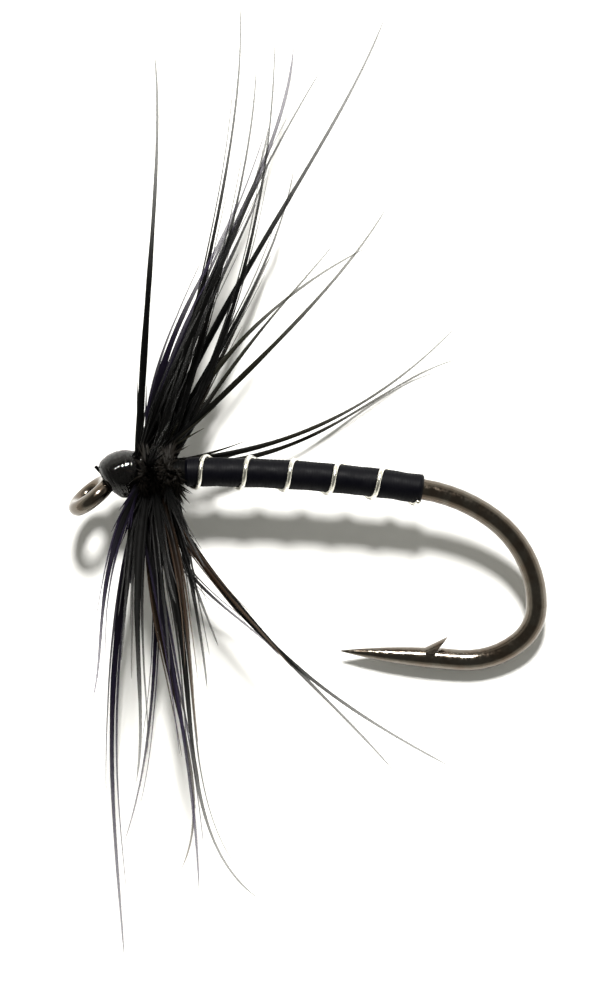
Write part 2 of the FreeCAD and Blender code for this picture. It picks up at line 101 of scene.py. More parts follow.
def node_points(node: str) -> np.ndarray:
    """Vertices of one CAD node, in millimetres.

    Args:
        node: Name of the node.

    Returns:
        An array of n by 3.
    """
    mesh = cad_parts[node].data
    flat = np.empty(len(mesh.vertices) * 3)
    mesh.vertices.foreach_get("co", flat)
    return flat.reshape(-1, 3) / MM


@dataclass
class MeshBuilder:
    """Collects the rings, spikes and grids of one piece and turns them into one mesh."""

    blocks: list[np.ndarray] = field(default_factory=list)
    faces: list[Sequence[int]] = field(default_factory=list)
    shares: list[np.ndarray] = field(default_factory=list)
    count: int = 0

    def add(self, points: np.ndarray, faces: Iterable[Sequence[int]], share: np.ndarray) -> None:
        """Add vertices with their faces.

        Args:
            points: New vertices in millimetres.
            faces: Faces that count from the first new vertex.
            share: One value for each vertex: how far it lies along its strand.
        """
        start = self.count
        self.blocks.append(points)
        self.shares.append(share)
        self.faces.extend([tuple(int(i) + start for i in face) for face in faces])
        self.count += len(points)

    def grid(self, rings: np.ndarray, share: np.ndarray, capped: bool = True) -> None:
        """Add a skin over rings that follow each other.

        Args:
            rings: An array of rings by points by 3.
            share: One value for each ring.
            capped: Whether the two ends are closed.
        """
        turns, sides = rings.shape[:2]
        i, j = np.meshgrid(np.arange(turns - 1), np.arange(sides), indexing="ij")
        after = (j + 1) % sides
        corners = (i * sides + j, i * sides + after, (i + 1) * sides + after, (i + 1) * sides + j)
        faces: list[Sequence[int]] = np.stack([c.ravel() for c in corners], axis=1).tolist()
        if capped:
            faces.append(list(range(sides))[::-1])
            faces.append([(turns - 1) * sides + k for k in range(sides)])
        self.add(rings.reshape(-1, 3), faces, np.repeat(share, sides))

    def tube(
        self,
        path: np.ndarray,
        radii: np.ndarray,
        sides: int = 12,
        flat: float = 1.0,
        across: Vector | None = None,
    ) -> tuple[np.ndarray, np.ndarray]:
        """Add a bar along a path.

        Args:
            path: Centres of the rings.
            radii: Half width of each ring.
            sides: Corners of each ring.
            flat: Thickness as a share of the width.
            across: Roughly which way the wide side of the first ring lies.

        Returns:
            The directions along the path, and the wide direction of each ring.
        """
        ahead = unit(np.gradient(path, axis=0))
        hint = np.array(across if across is not None else (0.31, 0.83, 0.47))
        wide = np.empty_like(path)
        for k, tangent in enumerate(ahead):
            hint = unit(hint - tangent * float(hint @ tangent))
            wide[k] = hint
        thick = np.cross(ahead, wide)
        turn = np.linspace(0.0, TAU, sides, endpoint=False)
        reach = radii[:, None, None]
        rings = path[:, None, :] + reach * (
            np.cos(turn)[None, :, None] * wide[:, None, :]
            + flat * np.sin(turn)[None, :, None] * thick[:, None, :]
        )
        self.grid(rings, np.linspace(0.0, 1.0, len(path)))
        return ahead, wide

    def spikes(
        self, roots: np.ndarray, tips: np.ndarray, width: np.ndarray, share: np.ndarray
    ) -> None:
        """Add thin three-sided hairs.

        Args:
            roots: Where the hairs start.
            tips: Where they end.
            width: Half width of each root.
            share: One value for each hair.
        """
        ahead = unit(tips - roots)
        hint = np.where(np.abs(ahead[:, :1]) > 0.8, [[0.0, 0.0, 1.0]], [[1.0, 0.0, 0.0]])
        side = unit(np.cross(ahead, hint))
        other = np.cross(ahead, side)
        corners = []
        for turn in (0.0, TAU / 3, 2 * TAU / 3):
            step = math.cos(turn) * side + math.sin(turn) * other
            corners.append(roots + step * width[:, None])
        points = np.stack([*corners, tips], axis=1).reshape(-1, 3)
        first = np.arange(len(roots)) * 4
        faces = [
            (b + i, b + j, b + k) for b in first.tolist() for i, j, k in ((0, 1, 3), (1, 2, 3), (2, 0, 3))
        ]
        self.add(points, faces, np.repeat(share, 4))

    def finish(self, name: str, finish: bpy.types.Material, slot: str, *nodes: str) -> bpy.types.Object:
        """Make the mesh object, and let it stand for its CAD nodes.

        Args:
            name: Name of the object.
            finish: Its material.
            slot: Not used.
            nodes: CAD nodes that it stands for.

        Returns:
            The new object.
        """
        mesh = bpy.data.meshes.new(name)
        mesh.from_pydata((np.concatenate(self.blocks) * MM).tolist(), [], self.faces)
        mesh.polygons.foreach_set("use_smooth", [True] * len(mesh.polygons))
        along = mesh.attributes.new("along", "FLOAT", "POINT")
        along.data.foreach_set("value", np.concatenate(self.shares).astype(np.float32))
        mesh.materials.append(finish)
        mesh.update()
        piece = bpy.data.objects.new(name, mesh)
        bpy.context.scene.collection.objects.link(piece)
        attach(piece, "root")
        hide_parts(*nodes)
        return piece


# ---------------------------------------------------------------------------------------------
# Shader node groups
# ---------------------------------------------------------------------------------------------
@dataclass
class NodePainter:
    """Adds shader nodes to one tree."""

    tree: bpy.types.NodeTree

    def node(self, kind: str, **settings: object) -> bpy.types.Node:
        """Add a node.

        Args:
            kind: The node's type, without its "ShaderNode" prefix.
            settings: Properties of the node.

        Returns:
            The node.
        """
        prefix = "" if kind.startswith("Node") else "ShaderNode"
        made = self.tree.nodes.new(prefix + kind)
        for name, value in settings.items():
            setattr(made, name, value)
        return made

    def join(self, source: bpy.types.NodeSocket, target: bpy.types.NodeSocket) -> None:
        """Link an output to an input."""
        self.tree.links.new(source, target)

    def math(self, operation: str, first: object, second: object = 0.0) -> bpy.types.NodeSocket:
        """Add a math node.

        Args:
            operation: What the node does.
            first: A socket or a number.
            second: A socket or a number.

        Returns:
            Its output.
        """
        made = self.node("Math", operation=operation)
        for index, value in enumerate((first, second)):
            if isinstance(value, (int, float)):
                made.inputs[index].default_value = value
            else:
                self.join(value, made.inputs[index])
        return made.outputs[0]

    def between(self, value: bpy.types.NodeSocket, *limits: object) -> bpy.types.NodeSocket:
        """Map a value smoothly from one pair of limits to another.

        Args:
            value: The socket that is mapped.
            limits: From low, from high, to low, to high; each a number or a socket.

        Returns:
            The mapped value.
        """
        made = self.node("MapRange", interpolation_type="SMOOTHSTEP")
        self.join(value, made.inputs["Value"])
        for index, limit in enumerate(limits, start=1):
            if isinstance(limit, (int, float)):
                made.inputs[index].default_value = limit
            else:
                self.join(limit, made.inputs[index])
        return made.outputs["Result"]

    def mix(self, factor: object, first: object, second: object) -> bpy.types.NodeSocket:
        """Mix two colours.

        Args:
            factor: A socket, the share of the second colour.
            first: A socket or a colour.
            second: A socket or a colour.

        Returns:
            The mixed colour.
        """
        made = self.node("Mix", data_type="RGBA")
        self.join(factor, made.inputs["Factor"])
        for index, value in ((6, first), (7, second)):
            if isinstance(value, tuple):
                made.inputs[index].default_value = (*value, 1.0)
            else:
                self.join(value, made.inputs[index])
        return made.outputs[2]


class Effect(Enum):
    """The effects that several finishes share, each a shader node group."""

    MOTTLE = "fly_mottle"
    WOUND_STRANDS = "fly_wound_strands"
    FIBRE_SHADE = "fly_fibre_shade"


class EffectGroups:
    """Builds each node group once and places it in materials."""

    made: dict[Effect, bpy.types.ShaderNodeTree] = {}

    @classmethod
    def group(cls, effect: Effect) -> bpy.types.ShaderNodeTree:
        """The node group of an effect.

        Args:
            effect: Which one.

        Returns:
            The group, built on its first use.
        """
        if effect not in cls.made:
            builders = {
                Effect.MOTTLE: cls.build_mottle,
                Effect.WOUND_STRANDS: cls.build_strands,
                Effect.FIBRE_SHADE: cls.build_fibre_shade,
            }
            cls.made[effect] = bpy.data.node_groups.new(effect.value, "ShaderNodeTree")
            builders[effect](cls.made[effect])
        return cls.made[effect]

    @staticmethod
    def sockets(
        tree: bpy.types.ShaderNodeTree, inputs: dict[str, float | Colour], outputs: dict[str, str]
    ) -> tuple[bpy.types.Node, bpy.types.Node]:
        """Give a group its named inputs and outputs.

        Args:
            tree: The group.
            inputs: Default value of each input.
            outputs: Socket type of each output.

        Returns:
            The group's input and output nodes.
        """
        for name, value in inputs.items():
            kind = "NodeSocketColor" if isinstance(value, tuple) else "NodeSocketFloat"
            made = tree.interface.new_socket(name=name, in_out="INPUT", socket_type=kind)
            made.default_value = (*value, 1.0) if isinstance(value, tuple) else value
        for name, kind in outputs.items():
            tree.interface.new_socket(name=name, in_out="OUTPUT", socket_type=kind)
        paint = NodePainter(tree)
        return paint.node("NodeGroupInput"), paint.node("NodeGroupOutput")

    @classmethod
    def build_mottle(cls, tree: bpy.types.ShaderNodeTree) -> None:
        """Cloudy variation between two values."""
        given, out = cls.sockets(
            tree, {"Scale": 4000.0, "Low": 0.0, "High": 1.0}, {"Value": "NodeSocketFloat"}
        )
        paint = NodePainter(tree)
        place = paint.node("TexCoord")
        noise = paint.node("TexNoise")
        noise.inputs["Detail"].default_value = 4.0
        paint.join(place.outputs["Object"], noise.inputs["Vector"])
        paint.join(given.outputs["Scale"], noise.inputs["Scale"])
        value = paint.between(
            noise.outputs["Fac"], 0.3, 0.7, given.outputs["Low"], given.outputs["High"]
        )
        paint.join(value, out.inputs["Value"])

    @classmethod
    def build_strands(cls, tree: bpy.types.ShaderNodeTree) -> None:
        """Fine parallel strands across the shank, as wound silk or thread shows them."""
        given, out = cls.sockets(
            tree, {"Strands": 16000.0, "Waver": 2.0}, {"Height": "NodeSocketFloat"}
        )
        paint = NodePainter(tree)
        place = paint.node("TexCoord")
        parts = paint.node("SeparateXYZ")
        noise = paint.node("TexNoise")
        noise.inputs["Scale"].default_value = 2500.0
        paint.join(place.outputs["Object"], parts.inputs["Vector"])
        paint.join(place.outputs["Object"], noise.inputs["Vector"])
        phase = paint.math("MULTIPLY", parts.outputs["X"], given.outputs["Strands"])
        drift = paint.math("MULTIPLY", noise.outputs["Fac"], given.outputs["Waver"])
        wave = paint.math("SINE", paint.math("ADD", phase, drift))
        paint.join(paint.math("MULTIPLY", wave, 0.5), out.inputs["Height"])

    @classmethod
    def build_fibre_shade(cls, tree: bpy.types.ShaderNodeTree) -> None:
        """Colour and cover of a fibre from its dark root to its thin, pale tip."""
        inputs: dict[str, float | Colour] = {
            "Root": (0.0, 0.0, 0.0),
            "Middle": (0.02, 0.02, 0.02),
            "Tip": (0.2, 0.2, 0.2),
            "Thin From": 0.3,
            "Tip Cover": 0.4,
        }
        given, out = cls.sockets(
            tree, inputs, {"Color": "NodeSocketColor", "Cover": "NodeSocketFloat"}
        )
        paint = NodePainter(tree)
        along = paint.node("Attribute", attribute_name="along").outputs["Fac"]
        lower = paint.between(along, 0.12, 0.55, 0.0, 1.0)
        upper = paint.between(along, 0.45, 1.0, 0.0, 1.0)
        dark = paint.mix(lower, given.outputs["Root"], given.outputs["Middle"])
        colour = paint.mix(upper, dark, given.outputs["Tip"])
        cover = paint.between(along, given.outputs["Thin From"], 0.95, 1.0, given.outputs["Tip Cover"])
        paint.join(colour, out.inputs["Color"])
        paint.join(cover, out.inputs["Cover"])


# ---------------------------------------------------------------------------------------------
# Finishes
# ---------------------------------------------------------------------------------------------
@dataclass(frozen=True)
class Finish:
    """A finish with its base colour; the others build on it."""

    name: str
    colour: Colour
    roughness: float = 0.5
    metallic: float = 0.0

    def start(self) -> tuple[bpy.types.Material, NodePainter, bpy.types.Node]:
        """Start the material.

        Returns:
            The material, a painter for its tree, and its Principled BSDF.
        """
        material = bpy.data.materials.new(self.name)
        material.use_nodes = True
        shader = next(n for n in material.node_tree.nodes if n.type == "BSDF_PRINCIPLED")
        shader.inputs["Base Color"].default_value = (*self.colour, 1.0)
        shader.inputs["Roughness"].default_value = self.roughness
        shader.inputs["Metallic"].default_value = self.metallic
        return material, NodePainter(material.node_tree), shader

    def place(
        self, paint: NodePainter, effect: Effect, **values: float | Colour
    ) -> bpy.types.Node:
        """Place an effect's group with this finish's values.

        Args:
            paint: Painter of the material's tree.
            effect: Which group.
            values: Values of its inputs, with underscores for spaces.

        Returns:
            The group node.
        """
        made = paint.node("Group")
        made.node_tree = EffectGroups.group(effect)
        for name, value in values.items():
            socket = made.inputs[name.replace("_", " ")]
            socket.default_value = (*value, 1.0) if isinstance(value, tuple) else value
        return made

    def bump(
        self, paint: NodePainter, shader: bpy.types.Node, height: object, depth: float
    ) -> None:
        """Raise the surface by a height in units of depth millimetres.

        Args:
            paint: Painter of the material's tree.
            shader: The Principled BSDF.
            height: The height socket.
            depth: Millimetres for a height of 1.
        """
        made = paint.node("Bump")
        made.inputs["Strength"].default_value = 0.7
        made.inputs["Distance"].default_value = depth * MM
        paint.join(height, made.inputs["Height"])
        paint.join(made.outputs["Normal"], shader.inputs["Normal"])


@dataclass(frozen=True)
class BronzedWire(Finish):
    """Dark bronze lacquer over polished steel wire."""

    warm: Colour = (0.1, 0.075, 0.055)

    def build(self) -> bpy.types.Material:
        """Make the material."""
        material, paint, shader = self.start()
        cloud = self.place(paint, Effect.MOTTLE, Scale=2200.0, Low=0.0, High=1.0)
        paint.join(
            paint.mix(cloud.outputs["Value"], self.colour, self.warm), shader.inputs["Base Color"]
        )
        wear = self.place(paint, Effect.MOTTLE, Scale=9000.0, Low=0.1, High=0.24)
        paint.join(wear.outputs["Value"], shader.inputs["Roughness"])
        shader.inputs["Coat Weight"].default_value = 0.3
        shader.inputs["Coat Roughness"].default_value = 0.06
        return material


@dataclass(frozen=True)
class WoundSilk(Finish):
    """Thread or floss laid in turns across the shank."""

    strands: float = 40.0
    waver: float = 2.0
    depth: float = 0.006
    sheen: float = 0.0
    sheen_tint: Colour = (1.0, 1.0, 1.0)
    gloss: float = 0.0
    shine: float = 0.25

    def build(self) -> bpy.types.Material:
        """Make the material."""
        material, paint, shader = self.start()
        laid = self.place(
            paint, Effect.WOUND_STRANDS, Strands=self.strands * TAU / MM, Waver=self.waver
        )
        self.bump(paint, shader, laid.outputs["Height"], self.depth)
        spread = self.place(
            paint, Effect.MOTTLE, Scale=3000.0, Low=self.roughness - 0.08, High=self.roughness + 0.1
        )
        paint.join(spread.outputs["Value"], shader.inputs["Roughness"])
        shader.inputs["Specular IOR Level"].default_value = self.shine
        shader.inputs["Sheen Weight"].default_value = self.sheen
        shader.inputs["Sheen Roughness"].default_value = 0.35
        shader.inputs["Sheen Tint"].default_value = (*self.sheen_tint, 1.0)
        shader.inputs["Coat Weight"].default_value = self.gloss
        shader.inputs["Coat Roughness"].default_value = 0.05
        return material


@dataclass(frozen=True)
class SilverWire(Finish):
    """Drawn silver wire with a faint warm tone."""

    def build(self) -> bpy.types.Material:
        """Make the material."""
        material, paint, shader = self.start()
        wear = self.place(paint, Effect.MOTTLE, Scale=12000.0, Low=0.12, High=0.26)
        paint.join(wear.outputs["Value"], shader.inputs["Roughness"])
        dents = self.place(paint, Effect.MOTTLE, Scale=7000.0, Low=0.0, High=1.0)
        self.bump(paint, shader, dents.outputs["Value"], 0.004)
        return material


class Tint(Enum):
    """Shade of a hackle fibre between its black root and its pale tip."""

    BLACK = ("black", (0.002, 0.002, 0.002), (0.05, 0.05, 0.05))
    OLIVE = ("olive", (0.012, 0.011, 0.007), (0.08, 0.08, 0.065))
    VIOLET = ("violet", (0.006, 0.004, 0.012), (0.06, 0.05, 0.09))
    BROWN = ("brown", (0.014, 0.007, 0.003), (0.08, 0.06, 0.045))


@dataclass(frozen=True)
class FeatherKeratin(Finish):
    """A feather fibre: black at its root, thin and nearly clear at its tip."""

    middle: Colour = (0.01, 0.01, 0.01)
    tip: Colour = (0.1, 0.1, 0.1)
    thin_from: float = 0.3
    tip_cover: float = 0.5
    shine: float = 0.05

    def build(self) -> bpy.types.Material:
        """Make the material."""
        material, paint, shader = self.start()
        shade = self.place(
            paint,
            Effect.FIBRE_SHADE,
            Root=self.colour,
            Middle=self.middle,
            Tip=self.tip,
            Thin_From=self.thin_from,
            Tip_Cover=self.tip_cover,
        )
        paint.join(shade.outputs["Color"], shader.inputs["Base Color"])
        paint.join(shade.outputs["Cover"], shader.inputs["Alpha"])
        shader.inputs["Specular IOR Level"].default_value = self.shine
        fleck = self.place(
            paint, Effect.MOTTLE, Scale=6000.0, Low=self.roughness - 0.1, High=self.roughness + 0.15
        )
        paint.join(fleck.outputs["Value"], shader.inputs["Roughness"])
        return material


@dataclass(frozen=True)
class ClearVarnish(Finish):
    """A clear, glossy coat that shows the thread under it."""

    def build(self) -> bpy.types.Material:
        """Make the material."""
        material, paint, shader = self.start()
        ripple = self.place(paint, Effect.MOTTLE, Scale=2600.0, Low=0.0, High=1.0)
        self.bump(paint, shader, ripple.outputs["Value"], 0.005)
        shader.inputs["Transmission Weight"].default_value = 1.0
        shader.inputs["IOR"].default_value = 1.42
        return material


@dataclass(frozen=True)
class Paper(Finish):
    """Plain white paper, seen from its front only."""

    def build(self) -> bpy.types.Material:
        """Make the material."""
        material, paint, shader = self.start()
        shader.inputs["Specular IOR Level"].default_value = 0.0
        out = next(n for n in material.node_tree.nodes if n.type == "OUTPUT_MATERIAL")
        clear = paint.node("BsdfTransparent")
        blend = paint.node("MixShader")
        side = paint.node("NewGeometry")
        paint.join(side.outputs["Backfacing"], blend.inputs["Fac"])
        paint.join(shader.outputs["BSDF"], blend.inputs[1])
        paint.join(clear.outputs["BSDF"], blend.inputs[2])
        paint.join(blend.outputs["Shader"], out.inputs["Surface"])
        return material


# ---------------------------------------------------------------------------------------------
# The line of the shank, read from the thread base
# ---------------------------------------------------------------------------------------------
@dataclass
class ShankLine:
    """The axis of the shank: straight at the front, then a gentle arc down."""

    height: float = 0.0
    arc_start: float = 0.0
    arc_radius: float = 1.0
    front: float = 0.0
    rear: float = 0.0

    @classmethod
    def from_frame(cls) -> "ShankLine":
        """Read the axis from the two end rings of the thread base.

        Returns:
            The axis.
        """
        points = node_points("thread_base")
        front_x = points[:, 0].min()
        front = points[points[:, 0] < front_x + 0.004]
        height = float((front[:, 2].max() + front[:, 2].min()) / 2)
        top = points[np.argmax(points @ np.array([1.0, 0.0, 0.16]))]
        below = points[np.argmax(points @ np.array([1.0, 0.0, -0.4]))]
        lean = math.atan2(top[0] - below[0], top[2] - below[2])
        middle = (top + below) / 2
        radius = (height - middle[2]) / (1.0 - math.cos(lean))
        start = middle[0] - radius * math.sin(lean)
        return cls(height, float(start), float(radius), float(front_x), float(start + radius * lean))

    def state(self, along: np.ndarray) -> tuple[np.ndarray, np.ndarray]:
        """Points on the axis and how far it has turned down there.

        Args:
            along: Distances along the axis, equal to X on its straight part.

        Returns:
            The points, and the turn in radians.
        """
        along = np.atleast_1d(np.asarray(along, dtype=float))
        turn = np.maximum(along - self.arc_start, 0.0) / self.arc_radius
        x = np.minimum(along, self.arc_start) + self.arc_radius * np.sin(turn)
        z = self.height - self.arc_radius * (1.0 - np.cos(turn))
        return np.stack([x, np.zeros_like(x), z], axis=-1), turn

    def around(self, along: np.ndarray, clock: np.ndarray, radius: np.ndarray) -> np.ndarray:
        """Points beside the shank.

        Args:
            along: Distances along the axis.
            clock: Angles round it, 0 at the near side and a quarter turn at the top.
            radius: Distances from it.

        Returns:
            One point for each.
        """
        centre, turn = self.state(along)
        up = np.stack([np.sin(turn), np.zeros_like(turn), np.cos(turn)], axis=-1)
        near = np.array([0.0, -1.0, 0.0])
        clock = np.asarray(clock)[..., None]
        return centre + np.asarray(radius)[..., None] * (np.cos(clock) * near + np.sin(clock) * up)

    def sleeve(self, along: np.ndarray, clock: np.ndarray, radius: np.ndarray) -> np.ndarray:
        """Rings of a sleeve over the shank.

        Args:
            along: A column of distances along the axis.
            clock: A row of angles round it.
            radius: A distance from it for each ring and angle.

        Returns:
            An array of rings by points by 3.
        """
        along, clock = (np.broadcast_to(values, radius.shape).ravel() for values in (along, clock))
        return self.around(along, clock, radius.ravel()).reshape(*radius.shape, 3)

    def locate(self, points: np.ndarray) -> tuple[np.ndarray, np.ndarray, np.ndarray]:
        """Place along the axis, clock angle and radius of points beside the shank.

        Args:
            points: An array of n by 3.

        Returns:
            The three values of each point.
        """
        pivot = np.array([self.arc_start, self.height - self.arc_radius])
        turn = np.arctan2(points[:, 0] - pivot[0], points[:, 2] - pivot[1])
        bent = points[:, 0] > self.arc_start
        arc = self.arc_start + self.arc_radius * turn
        along = np.where(bent, arc, points[:, 0])
        rise = np.hypot(points[:, 0] - pivot[0], points[:, 2] - pivot[1]) - self.arc_radius
        rise = np.where(bent, rise, points[:, 2] - self.height)
        return along, np.arctan2(rise, -points[:, 1]), np.hypot(rise, points[:, 1])


@dataclass
class Winding:
    """The helix of a wound wire: it may hold back on the near side and run ahead on the far."""

    pitch: float
    lean: float = 0.0
    facing: float = math.radians(16.0)
    offset: float = 0.0

    def fit(self, shank: ShankLine, node: str) -> "Winding":
        """Set where the turns lie from the wire's CAD node.

        Args:
            shank: The axis of the shank.
            node: CAD node of the wire.

        Returns:
            This winding.
        """
        along, clock, _ = shank.locate(node_points(node))
        spread = np.exp(1j * TAU * (along - self.place(clock)) / self.pitch)
        self.offset += float(np.angle(spread.mean())) / TAU * self.pitch
        return self

    def place(self, clock: np.ndarray) -> np.ndarray:
        """Distance along the shank at clock angles in radians.

        Args:
            clock: Angles round the shank; each whole turn adds one pitch.

        Returns:
            Distances along the shank.
        """
        turned = clock - self.facing
        return self.offset + self.pitch * turned / TAU - self.lean * np.sin(turned)

    def gap(self, along: np.ndarray, clock: np.ndarray) -> np.ndarray:
        """Signed distance along the shank to the nearest turn."""
        away = (along - self.place(clock)) / self.pitch
        return (away - np.round(away)) * self.pitch

    def clocks(self, start: float, end: float, per_turn: int) -> np.ndarray:
        """Clock angles of the turns between two distances.

        Args:
            start: First distance along the shank.
            end: Last distance.
            per_turn: Angles in one turn.

        Returns:
            The angles, evenly spaced.
        """
        first = self.facing + TAU * (start - self.offset) / self.pitch - math.pi
        last = self.facing + TAU * (end - self.offset) / self.pitch + math.pi
        clocks = np.linspace(first, last, int((last - first) / TAU * per_turn))
        places = self.place(clocks)
        return clocks[(places >= start) & (places <= end)]


# ---------------------------------------------------------------------------------------------
# Sub-assemblies
# ---------------------------------------------------------------------------------------------
@dataclass
class Hook:
    """The bronzed hook, whose CAD mesh is kept."""

    node: str = "hook"

    def dress(self) -> None:
        """Give the hook its bronze lacquer."""
        finish = BronzedWire("bronzed_wire", (0.13, 0.115, 0.095), metallic=1.0).build()
        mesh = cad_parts[self.node].data
        mesh.materials.clear()
        mesh.materials.append(finish)
        LOG.info("hook: CAD mesh dressed in bronze lacquer")


@dataclass
class BodyFloss:
    """Black floss laid over the thread base, drawn in where the rib bites."""

    shank: ShankLine
    rib: Winding
    radius: float = 0.43
    swell: float = 0.012
    bite: float = 0.03
    bite_width: float = 0.085
    end_round: float = 0.07
    end_drop: float = 0.07
    strand_pitch: float = 0.11
    strand_depth: float = 0.0022
    waves: int = 8
    seed: int = 5
    rings: int = 420
    sides: int = 72

    def build(self, finish: bpy.types.Material) -> None:
        """Make the floss.

        Args:
            finish: Its material.
        """
        along, _, _ = self.shank.locate(node_points("body_floss"))
        start, end = float(along.min()), float(along.max())
        s = np.linspace(start, end, self.rings)[:, None]
        clock = np.linspace(0.0, TAU, self.sides, endpoint=False)[None, :]
        gap = self.rib.gap(s, clock)
        rng = random.Random(self.seed)
        wander = sum(
            rng.uniform(0.3, 1.0)
            * np.sin(s * rng.uniform(2.0, 9.0) + clock * rng.choice((1, 2, 3)) + rng.uniform(0, TAU))
            for _ in range(self.waves)
        )
        wraps = np.sin(TAU * s / self.strand_pitch + clock + 0.8 * wander) * self.strand_depth
        radius = self.radius + self.swell * (1.0 - (2.0 * gap / self.rib.pitch) ** 2)
        radius = radius - self.bite * np.exp(-((gap / self.bite_width) ** 2))
        radius = radius + wraps + self.strand_depth * wander
        ends = np.minimum(s - start, end - s) / self.end_round
        radius = radius - self.end_drop * (1.0 - ease(ends, -0.3, 1.0))
        made = MeshBuilder()
        made.grid(self.shank.sleeve(s, clock, radius), np.linspace(0, 1, self.rings))
        made.finish("floss_body", finish, "body_floss", "body_floss")
        LOG.info("body floss: %.2f mm long", end - start)


@dataclass
class WoundWire:
    """A wire or quill wound over the shank."""

    shank: ShankLine
    node: str
    slot: str
    winding: Winding
    bar: float
    flat: float = 1.0
    sides: int = 16
    per_turn: int = 48

    def __post_init__(self) -> None:
        """Set the winding's turns from the CAD node."""
        self.winding.fit(self.shank, self.node)

    def path(self) -> tuple[np.ndarray, np.ndarray]:
        """The wire's centreline.

        Returns:
            Its places along the shank and its points.
        """
        along, _, radius = self.shank.locate(node_points(self.node))
        start, end = float(along.min()) + self.bar, float(along.max()) - self.bar
        clocks = self.winding.clocks(start, end, self.per_turn)
        places = self.winding.place(clocks)
        centre = float(radius.min() + radius.max()) / 2
        return places, self.shank.around(places, clocks, np.full(len(clocks), centre))

    def build(self) -> MeshBuilder:
        """Make the wire's bar.

        Returns:
            The builder with the bar, for more detail.
        """
        _, points = self.path()
        made = MeshBuilder()
        radii = np.full(len(points), self.bar)
        made.tube(points, radii, self.sides, self.flat, Vector((1.0, 0.0, 0.0)))
        return made

    def finish(self, made: MeshBuilder, finish: bpy.types.Material) -> None:
        """Close the piece and report it.

        Args:
            made: The builder with the bar and its detail.
            finish: Its material.
        """
        made.finish(self.node + "_wound", finish, self.slot, self.node)
        LOG.info("%s: wound at %.3f mm a turn", self.node, self.winding.pitch)


@dataclass
class HackleWeb:
    """The short, soft web that stands round the turns of the quill."""

    quill: WoundWire
    hairs: int = 2600
    shortest: float = 0.25
    longest: float = 0.75
    thinnest: float = 0.035
    thickest: float = 0.085
    scatter: float = 0.28
    rearward: float = 0.1
    shade: float = 0.08
    seed: int = 11

    def grow(self, made: MeshBuilder) -> None:
        """Add the web to the quill.

        Args:
            made: The quill's builder.
        """
        rng = np.random.default_rng(self.seed)
        s, points = self.quill.path()
        centres, _ = self.quill.shank.state(s)
        pick = rng.integers(0, len(points), self.hairs)
        roots = points[pick]
        out = unit(roots - centres[pick])
        lean = rng.normal(0.0, self.scatter, (self.hairs, 3))
        lean[:, 0] += self.rearward
        length = rng.uniform(self.shortest, self.longest, self.hairs)
        ahead = unit(out + lean)
        tips = roots + ahead * length[:, None]
        width = rng.uniform(self.thinnest, self.thickest, self.hairs)
        made.spikes(roots, tips, width, np.full(self.hairs, self.shade))


@dataclass
class ThreadBase:
    """Black thread laid in close turns from the head to the end of the body."""

    shank: ShankLine
    radius: float = 0.352
    ridge: float = 0.008
    pitch: float = 0.07
    open_end: float = 3.0
    sides: int = 28

    def build(self, finish: bpy.types.Material) -> None:
        """Make the thread base: fine turns where it shows, a plain layer under the floss.

        Args:
            finish: Its material.
        """
        fine = np.arange(self.shank.front, self.open_end, self.pitch / 8)
        plain = np.linspace(self.open_end, self.shank.rear, 40)
        s = np.concatenate([fine, plain])[:, None]
        clock = np.linspace(0.0, TAU, self.sides, endpoint=False)[None, :]
        wave = np.abs(np.sin(math.pi * s / self.pitch + clock / 2))
        radius = self.radius + self.ridge * np.where(s < self.open_end, wave, 0.0)
        made = MeshBuilder()
        made.grid(self.shank.sleeve(s, clock, radius), np.linspace(0, 1, len(s)))
        made.finish("thread_base_wound", finish, "tying_thread", "thread_base")
        LOG.info("thread base: %.2f to %.2f mm", self.shank.front, self.shank.rear)


@dataclass
class FibreLine:
    """Centreline and half thickness of one fibre, read from its CAD node."""

    node: str
    samples: int = 84
    link: float = 0.08

    def rings(self) -> tuple[np.ndarray, np.ndarray]:
        """Centres and radii of the node's rings.

        Returns:
            Ring centres and ring radii, in no order.
        """
        left = node_points(self.node)
        centres, radii = [], []
        while len(left):
            member = np.zeros(len(left), dtype=bool)
            member[0] = True
            while True:
                gap = np.linalg.norm(left[:, None, :] - left[member][None, :, :], axis=2).min(axis=1)
                grown = gap < self.link
                if grown.sum() == member.sum():
                    break
                member = grown
            centre = left[member].mean(axis=0)
            centres.append(centre)
            radii.append(np.linalg.norm(left[member] - centre, axis=1).max())
            left = left[~member]
        return np.array(centres), np.array(radii)

    def read(self, shank: ShankLine) -> tuple[np.ndarray, float]:
        """The smoothed centreline from root to tip.

        Args:
            shank: The axis of the shank.

        Returns:
            Points along the fibre and the radius of its root.
        """
        centres, radii = self.rings()
        _, _, off = shank.locate(centres)
        order = [int(np.argmin(off))]
        while len(order) < len(centres):
            gap = np.linalg.norm(centres - centres[order[-1]], axis=1)
            gap[order] = np.inf
            order.append(int(np.argmin(gap)))
        line = centres[order]
        step = np.linspace(0.0, 1.0, len(line))
        fine = np.linspace(0.0, 1.0, self.samples)
        fits = [np.polyval(np.polyfit(step, line[:, axis], 5), fine) for axis in range(3)]
        return np.stack(fits, axis=1), float(radii[order[0]])


